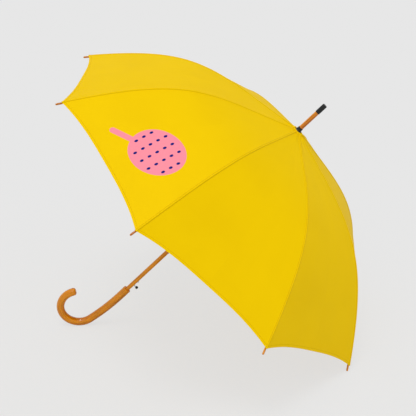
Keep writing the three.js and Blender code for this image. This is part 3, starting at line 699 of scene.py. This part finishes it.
def crookPath():
    # the wood's centre line in the hook's plane, for the grain to follow
    points = [np.array([0.0, -crook["top"]])]
    heading = 0.0

    def go(length, towards):
        points.append(points[-1] + length * np.array([math.sin(towards), -math.cos(towards)]))

    go(crook["straight"], 0)
    for sweep, radius, steps in ((crook["lean"], crook["leanRadius"], 8),
                                 (crook["sweep"] - crook["lean"], crook["hook"], 80)):
        part = math.radians(sweep) / steps
        for _ in range(steps):
            go(2 * radius * math.sin(part / 2), heading + part / 2)
            heading += part
    return np.array(points)


def makeHandle():
    bm = bmesh.new()
    radius, bore, top = crook["radius"] * mm, crook["bore"] * mm, -crook["top"] * mm
    socket = crook["socket"] * mm
    centre = Vector((0, 0, top - socket))
    bmesh.ops.create_circle(bm, cap_ends=True, radius=bore, segments=64, matrix=Matrix.Translation(centre))
    ring, centre = growRing(bm, list(bm.edges), Vector((0, 0, socket)), 1, centre)
    size = bore
    for drop, inset in crook["rim"]:
        wider = radius - inset * mm
        ring, centre = growRing(bm, ring, Vector((0, 0, -drop * mm)), wider / size, centre)
        size = wider
    down = crook["straight"] * mm - sum(drop for drop, _ in crook["rim"]) * mm
    for _ in range(crook["straightRings"]):
        ring, centre = growRing(bm, ring, Vector((0, 0, -down / crook["straightRings"])), 1, centre)
    lean, heading = math.radians(crook["lean"]), math.radians(crook["sweep"])
    bend = Vector((crook["leanRadius"] * mm, 0, centre.z))
    ring = spinRing(bm, ring, bend, lean, crook["leanSteps"])
    centre = bend + Matrix.Rotation(lean, 3, (0, -1, 0)) @ (centre - bend)
    hub = centre + crook["hook"] * mm * Vector((math.cos(lean), 0, math.sin(lean)))
    rest = heading - lean
    ring = spinRing(bm, ring, hub, rest, crook["hookSteps"])
    centre = hub + Matrix.Rotation(rest, 3, (0, -1, 0)) @ (centre - hub)
    ahead = Vector((math.sin(heading), 0, -math.cos(heading)))
    size = 1.0
    for advance, share in crook["dome"]:
        ring, centre = growRing(bm, ring, ahead * advance * mm, share / size, centre)
        size = share
    bmesh.ops.contextual_create(bm, geom=ring)
    bmesh.ops.recalc_face_normals(bm, faces=bm.faces)
    turn = Matrix.Rotation(math.radians(crook["turn"]), 3, "Z")
    bmesh.ops.rotate(bm, cent=(0, 0, 0), matrix=turn, verts=bm.verts)
    piece = toObject(bm, "crook_handle", woodMaterial, "frame", smoothAngle=50, replaced=["handle"])
    followCrook(piece.data)


def followCrook(mesh):
    # across the wood, across the wood the other way, and along the wood
    turn = math.radians(crook["turn"])
    local = localPoints(mesh) / mm
    outward = local[:, 0] * math.cos(turn) + local[:, 1] * math.sin(turn)
    aside = -local[:, 0] * math.sin(turn) + local[:, 1] * math.cos(turn)
    path = crookPath()
    arcs = np.concatenate([[0], np.cumsum(np.linalg.norm(np.diff(path, axis=0), axis=1))])
    flat = np.stack([outward, local[:, 2]], 1)
    nearest = np.linalg.norm(flat[:, None] - path[None], axis=2).argmin(1)
    ahead = np.gradient(path, axis=0)
    ahead /= np.linalg.norm(ahead, axis=1)[:, None]
    offset = flat - path[nearest]
    along = arcs[nearest] + (offset * ahead[nearest]).sum(1)
    sideOf = offset[:, 0] * -ahead[nearest, 1] + offset[:, 1] * ahead[nearest, 0]
    rememberPlace(mesh, "woodPlace", np.stack([sideOf, aside, along + 300], 1) * mm)


shaft = dict(
    radius=4.6, foot=-528, tip=79.5, capLength=22.5, intoCap=1,  # mm along the shaft from the crown
    slot=3.0, slotFloor=-2.5, slotGap=0.4,  # the catches' slots
)


def catchSpan(node):
    # how far a catch reaches along the shaft, in mm from the crown
    back = toRow.inverted()
    heights = [(back @ v.co).z / mm for v in frame["nodes"][node].data.vertices]
    return min(heights), max(heights)


def block(bm, low, high):
    made = bmesh.ops.create_cube(bm, size=1)["verts"]
    bmesh.ops.scale(bm, vec=[(b - a) * mm for a, b in zip(low, high)], verts=made)
    bmesh.ops.translate(bm, vec=[(a + b) / 2 * mm for a, b in zip(low, high)], verts=made)


def makeShaft():
    end = shaft["tip"] - shaft["capLength"] + shaft["intoCap"]
    radius, foot = shaft["radius"], shaft["foot"]
    bm = turnedPiece([(0, foot), (radius, foot), (radius, end), (0, end)])
    piece = toObject(bm, "wooden_shaft", woodMaterial, "frame", replaced=["shaft"])
    cutter = bmesh.new()
    half, outside = shaft["slot"] / 2, radius + 2
    for node in ("lower_catch", "upper_catch"):
        low, high = catchSpan(node)
        block(cutter, (shaft["slotFloor"], -half, low - shaft["slotGap"]),
              (outside, half, high + shaft["slotGap"]))
    mesh = bpy.data.meshes.new("slots")
    cutter.to_mesh(mesh)
    cutter.free()
    mesh.transform(toRow)
    tool = bpy.data.objects.new("slots", mesh)
    scene.collection.objects.link(tool)
    carve = piece.modifiers.new("slots", "BOOLEAN")
    carve.object = tool
    carve.solver = "EXACT"
    applyModifiers(piece)
    bpy.data.objects.remove(tool)
    rememberPlace(piece.data, "woodPlace", localPoints(piece.data))
    smoothShade(piece.data, 35)


def makeTurned(name, profile, material, body, replaced, place=None, steps=48):
    bm = turnedPiece(profile, steps)
    if place:
        bm.transform(place)
    piece = toObject(bm, name, material, body, replaced=replaced)
    return piece


caps = dict(
    # radius, and depth under the shaft's tip
    ferrule=((0, 2), (4.2, 2), (4.2, 22.5), (4.95, 22.5), (5.15, 22.3), (5.15, 1.6), (4.95, 0.9), (4.5, 0.3),
             (3.8, 0), (0, 0)),
    # radius, and height over the crown
    crown=((4.9, 0.5), (7.6, 0.5), (7.9, 0.8), (7.9, 1.6), (7.6, 1.95), (7.2, 2.3), (6.5, 3.6), (5.95, 5.2),
           (5.6, 7.2), (5.45, 9.2), (5.45, 10.4), (5.3, 10.8), (4.9, 10.8), (4.9, 0.5)),
)


def makeCaps():
    ferrule = [(r, shaft["tip"] - depth) for r, depth in caps["ferrule"]]
    makeTurned("black_ferrule_cap", ferrule, nylonMaterial, "frame", ["ferrule_cap"])
    makeTurned("black_crown_cap", caps["crown"], nylonMaterial, "frame", ["crown_cap"])


tip = dict(
    inside=8.0, drop=2.6,  # mm that a tip lies under the cloth along the rib, and below it
    profile=((0, 7), (1.3, 7), (1.3, 0), (1.65, 0), (1.9, 0.4), (1.95, 5), (2.0, 8), (2.0, 18.1),
             (1.85, 19.2), (1.4, 20.1), (0.8, 20.5), (0, 20.5)),  # radius, and distance along it
)


def makeTips():
    end = ribLine(clothLength)
    a = math.radians(canopy["cornerSlope"])
    ahead = Vector((math.cos(a), 0, -math.sin(a)))
    outward = Vector((math.sin(a), 0, math.cos(a)))
    start = Vector((end[0], 0, end[1])) - outward * tip["drop"] - ahead * tip["inside"]
    aim = Matrix((outward.cross(ahead), outward, ahead)).transposed().to_4x4()
    for i in ribNumbers:
        place = Matrix.Rotation(ribAngles[i], 4, "Z") @ Matrix.Translation(start * mm) @ aim
        piece = makeTurned(f"wooden_tip_{i}", tip["profile"], woodMaterial, f"rib_outer_{i}", [f"tip_{i}"],
                           place, steps=24)
        # each tip is from another stretch of wood
        grain = localPoints(piece.data, toRow @ place) + np.array([0.03 * i, 0, 0.7])
        rememberPlace(piece.data, "woodPlace", grain)


button = dict(
    above=0.6,  # mm over the lower catch's end
    profile=((0, 9.5), (2.5, 9.5), (2.9, 9.75), (3.1, 10.3), (3.1, 13.4), (2.9, 14.0), (2.4, 14.45),
             (1.5, 14.62), (0, 14.65)),  # radius, and distance from the shaft's middle
)


def makeButton():
    height = catchSpan("lower_catch")[0] + button["above"]
    place = Matrix.Translation((0, 0, height * mm)) @ Matrix.Rotation(math.pi / 2, 4, "Y")
    makeTurned("push_button", button["profile"], nylonMaterial, "lower_catch", ["release_button"],
               place, 40)


rounded = dict(steel=0.12, nylon=0.15)  # mm


def finishNode(node, material, bevel):
    # a copy of a CAD node with its edges rounded as folding, moulding or tumbling leaves them
    source = frame["nodes"][node]
    mesh = source.data.copy()
    bm = bmesh.new()
    bm.from_mesh(mesh)
    bmesh.ops.remove_doubles(bm, verts=bm.verts, dist=0.01 * mm)
    bmesh.ops.dissolve_limit(bm, angle_limit=math.radians(1), verts=bm.verts, edges=bm.edges)
    bm.to_mesh(mesh)
    bm.free()
    mesh.name = node + "_finished"
    mesh.materials.clear()
    mesh.materials.append(material)
    piece = bpy.data.objects.new(node + "_finished", mesh)
    scene.collection.objects.link(piece)
    if bevel:
        edge = piece.modifiers.new("edges", "BEVEL")
        edge.width = bevel * mm
        edge.segments = 2
        edge.limit_method = "ANGLE"
        edge.angle_limit = math.radians(40)
        applyModifiers(piece)
    smoothShade(piece.data, 30)
    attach(piece, source["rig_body"])
    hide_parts(node)


def makeLinkage():
    for i in ribNumbers:
        for node in (f"rib_inner_{i}", f"rib_outer_{i}", f"stretcher_{i}"):
            finishNode(node, steelMaterial, rounded["steel"])
    for node in ("lower_catch", "upper_catch", "crown_wire", "runner_wire", "runner_stop_pin"):
        finishNode(node, steelMaterial, 0)
    for node in ("crown_notch", "runner"):
        finishNode(node, nylonMaterial, rounded["nylon"])


makeHandle()
makeShaft()
makeCaps()
makeTips()
makeButton()
makeLinkage()
print("wood, plastic and steel made")


studio = dict(
    paper="#E7E7E7", floor="#E7E7E7", floorSize=20, even=0.84, sky=0.56,
    key=0.7, keySoft=60, keyFrom=(-0.1, -0.5, 0.86),  # strength, degrees, and the way to the lamp
    box=0.8, boxSoft=22, boxFrom=(-0.06, -0.3, 0.95),
)


def makeStudio():
    bm = bmesh.new()
    bmesh.ops.create_grid(bm, x_segments=1, y_segments=1, size=studio["floorSize"])
    mesh = bpy.data.meshes.new("floor")
    bm.to_mesh(mesh)
    bm.free()
    floor = bpy.data.objects.new("floor", mesh)
    scene.collection.objects.link(floor)
    material, tree, shader = newMaterial("matt_paper", Roughness=0.95, Specular_IOR_Level=0.0)
    shader.inputs["Base Color"].default_value = colour(studio["floor"])
    evenLight = addNode(tree, "Emission", {"Color": colour(studio["paper"])})
    rays = addNode(tree, "LightPath")
    share = addNode(tree, "Math", {0: rays.outputs["Is Camera Ray"], 1: studio["even"]},
                    operation="MULTIPLY")
    mixed = addNode(tree, "MixShader", {0: share.outputs[0], 1: shader.outputs[0], 2: evenLight.outputs[0]})
    tree.links.new(mixed.outputs[0], tree.nodes["Material Output"].inputs["Surface"])
    mesh.materials.append(material)

    world = bpy.data.worlds.new("studio")
    world.use_nodes = True
    scene.world = world
    tree = world.node_tree
    background = tree.nodes["Background"]
    background.inputs["Color"].default_value = (1, 1, 1, 1)
    background.inputs["Strength"].default_value = studio["sky"]
    seen = addNode(tree, "Background", {"Color": colour(studio["paper"]), "Strength": 1.0})
    rays = addNode(tree, "LightPath")
    direct = addNode(tree, "Math", {0: rays.outputs["Is Camera Ray"], 1: rays.outputs["Is Glossy Ray"]},
                     operation="MAXIMUM")
    chosen = addNode(tree, "MixShader", {0: direct.outputs[0], 1: background.outputs[0], 2: seen.outputs[0]})
    tree.links.new(chosen.outputs[0], tree.nodes["World Output"].inputs["Surface"])

    # a wide soft key, and a smaller soft box for the highlights on varnish and plastic
    for name in ("key", "box"):
        lamp = bpy.data.lights.new(name, "SUN")
        lamp.energy = studio[name]
        lamp.angle = math.radians(studio[name + "Soft"])
        light = bpy.data.objects.new(name, lamp)
        light.rotation_mode = "QUATERNION"
        light.rotation_quaternion = Vector(studio[name + "From"]).to_track_quat("Z", "Y")
        scene.collection.objects.link(light)


makeStudio()
scene.view_settings.view_transform = "Standard"
print("studio made")
